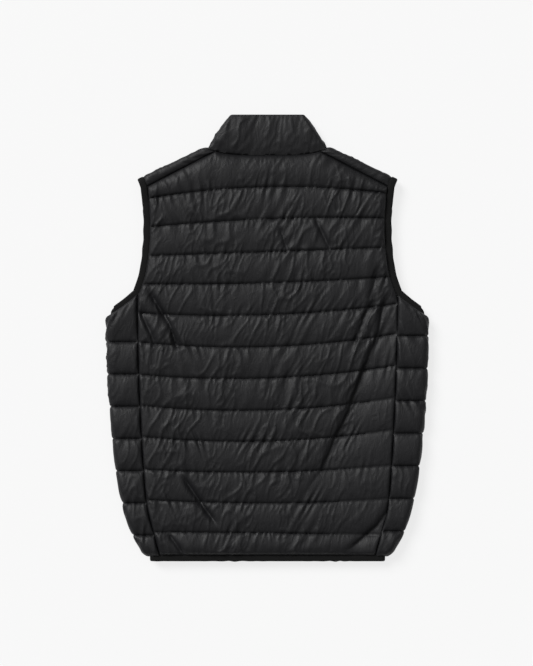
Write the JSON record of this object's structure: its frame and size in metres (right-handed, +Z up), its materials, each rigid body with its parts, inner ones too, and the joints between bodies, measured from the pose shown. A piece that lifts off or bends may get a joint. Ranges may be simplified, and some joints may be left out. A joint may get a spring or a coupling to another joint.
{
  "type": "puffer vest",
  "caption": "Quilted padded vest with a stand collar and elastic-bound armholes and hem, zipped shut and laid flat on its front.",
  "frame": {"origin": "on the surface the vest lies on, under the middle of its length and width", "axes": "+Y towards the collar, +Z up out of the back, +X towards the wearer's right side"},
  "size_m": [0.5416, 0.75, 0.0302],
  "materials": {
    "shell": "black woven nylon taffeta, calendered, soft satin sheen",
    "binding": "black knitted elastic binding, matt",
    "tape": "black woven polyester zip tape, matt",
    "zip_teeth": "black moulded plastic teeth",
    "zip_metal": "black painted zinc"
  },
  "bodies": {
    "vest": {"back": "shell", "front_left": "shell", "front_right": "shell", "collar": "shell", "armhole_binding_left": "binding", "armhole_binding_right": "binding", "hem_binding": "binding", "zip_tape_left": "tape", "zip_tape_right": "tape", "zip_chain": "zip_teeth", "zip_slider": "zip_metal"},
    "pull": {"zip_pull": "zip_metal"}
  },
  "joints": [
    {"name": "pull_swing", "type": "hinge", "parent": "vest", "child": "pull", "pos_m": [0, 0.2984, 0.0054], "axis": [1, 0, 0], "range_deg": [0, 160]}
  ]
}
